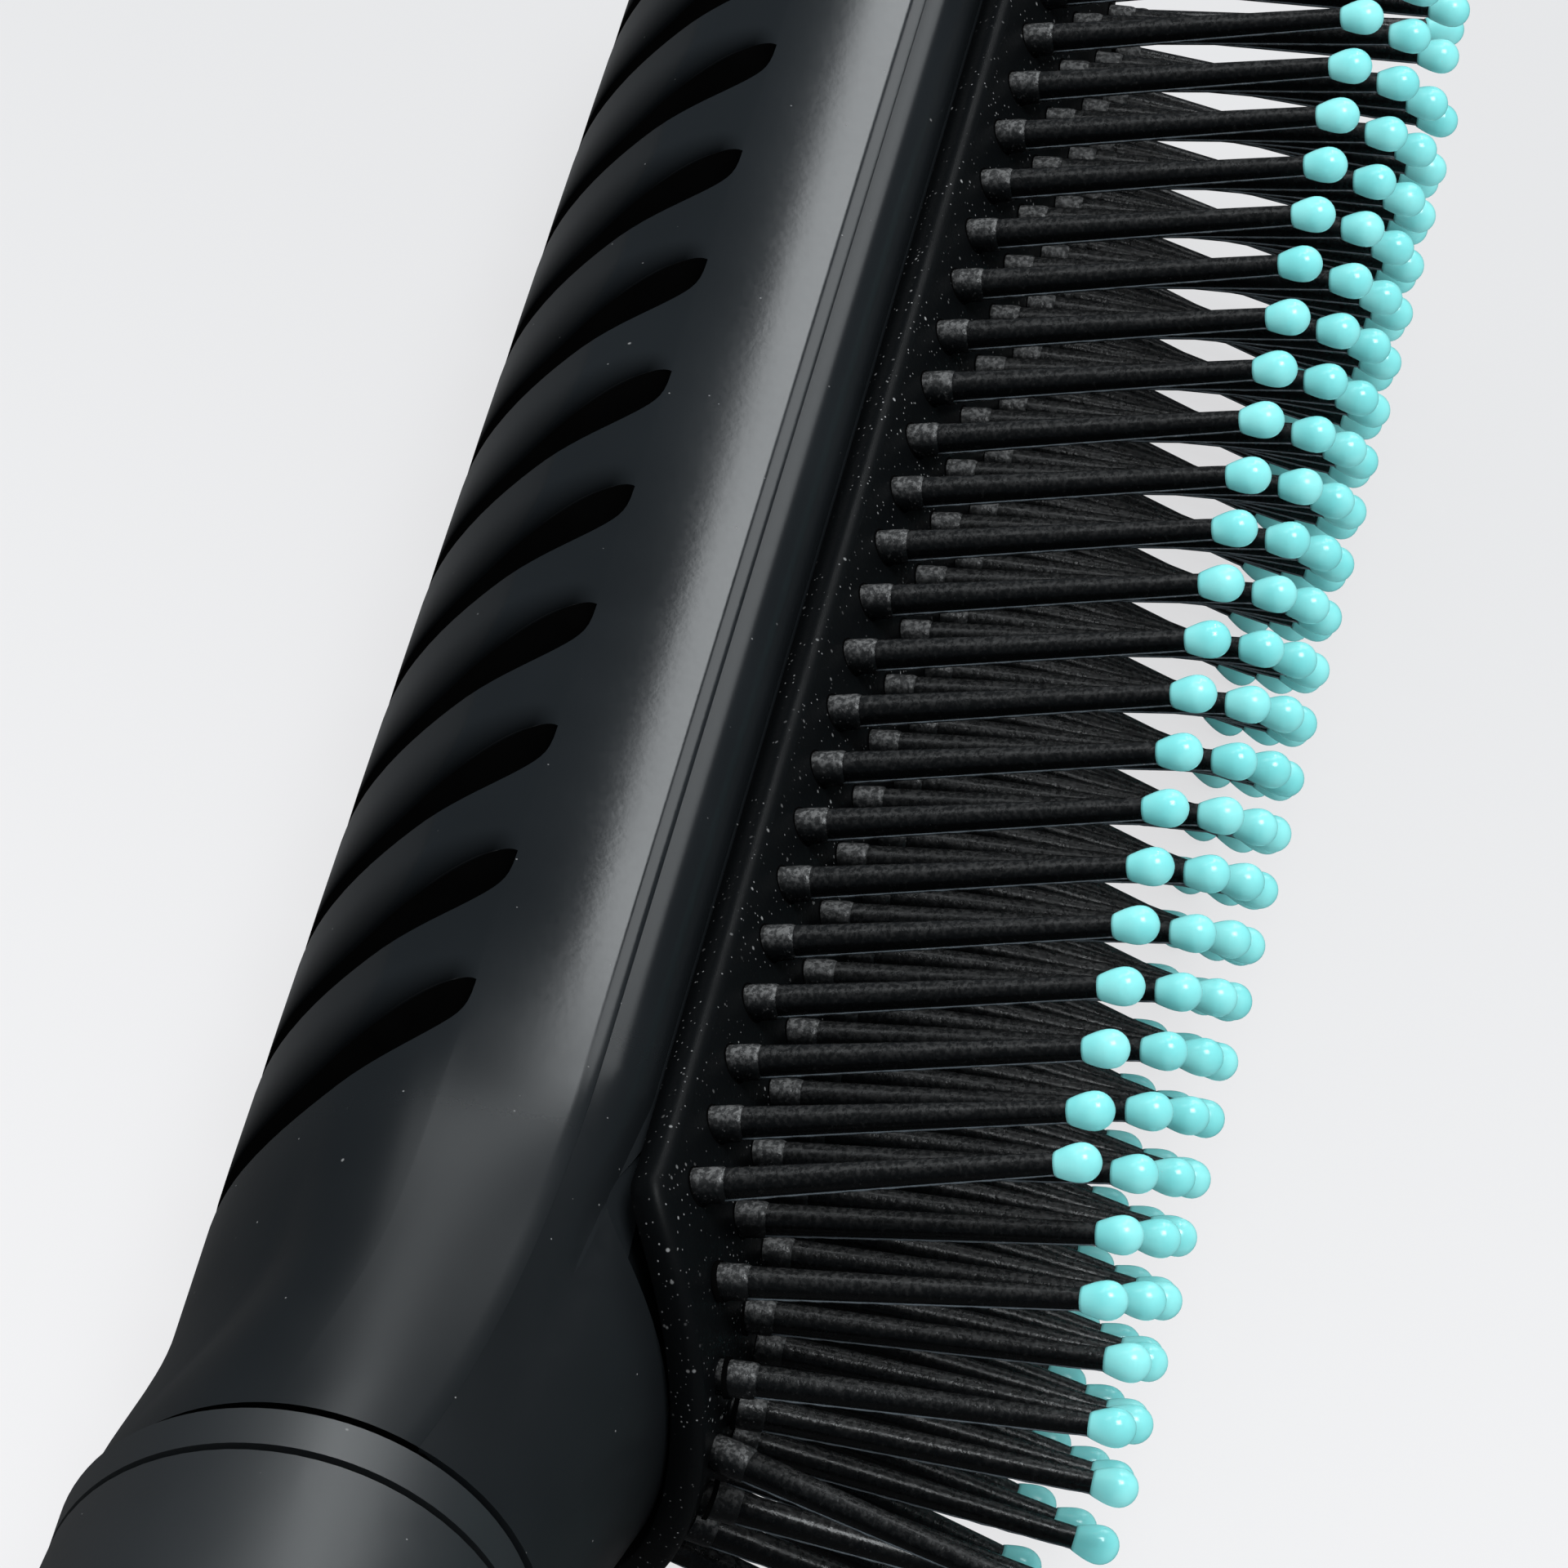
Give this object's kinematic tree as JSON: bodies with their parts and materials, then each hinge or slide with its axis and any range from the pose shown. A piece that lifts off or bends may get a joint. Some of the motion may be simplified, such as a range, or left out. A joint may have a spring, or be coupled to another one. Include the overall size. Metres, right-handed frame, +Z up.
{
  "type": "styling brush",
  "caption": "Half-round vented styling brush: ball-tipped pins in staggered rows on a curved plate, louvred back shell, ringed neck and round grip, lying on its side.",
  "frame": {"origin": "middle of the footprint, on the surface that the brush lies on", "axes": "+X along the handle axis from the grip to the head's far end, +Z up, pins pointing to -Y"},
  "size_m": [0.2404, 0.046, 0.0323],
  "materials": {
    "shell_black": "satin black moulding with a soft sheen",
    "frame_black": "satin black moulding",
    "plate_black": "glossy black with fine dust",
    "collar_black": "satin black ring",
    "grip_black": "satin black, slightly soft to the touch",
    "core_dark": "plain moulded rod, hidden",
    "cap_black": "satin black cap",
    "pins_black": "black nylon with fine grain",
    "tips_turquoise": "glossy dipped turquoise coating"
  },
  "bodies": {
    "root": {"back_shell": "shell_black", "front_frame": "frame_black", "pin_plate": "plate_black", "neck_collar": "collar_black", "handle_grip": "grip_black", "handle_core": "core_dark", "handle_end_cap": "cap_black", "pin_row_1": "pins_black", "pin_row_2": "pins_black", "pin_row_3": "pins_black", "pin_row_4": "pins_black", "pin_row_5": "pins_black", "pin_row_6": "pins_black", "pin_row_7": "pins_black", "tip_coats_row_1": "tips_turquoise", "tip_coats_row_2": "tips_turquoise", "tip_coats_row_3": "tips_turquoise", "tip_coats_row_4": "tips_turquoise", "tip_coats_row_5": "tips_turquoise", "tip_coats_row_6": "tips_turquoise", "tip_coats_row_7": "tips_turquoise"}
  },
  "joints": []
}
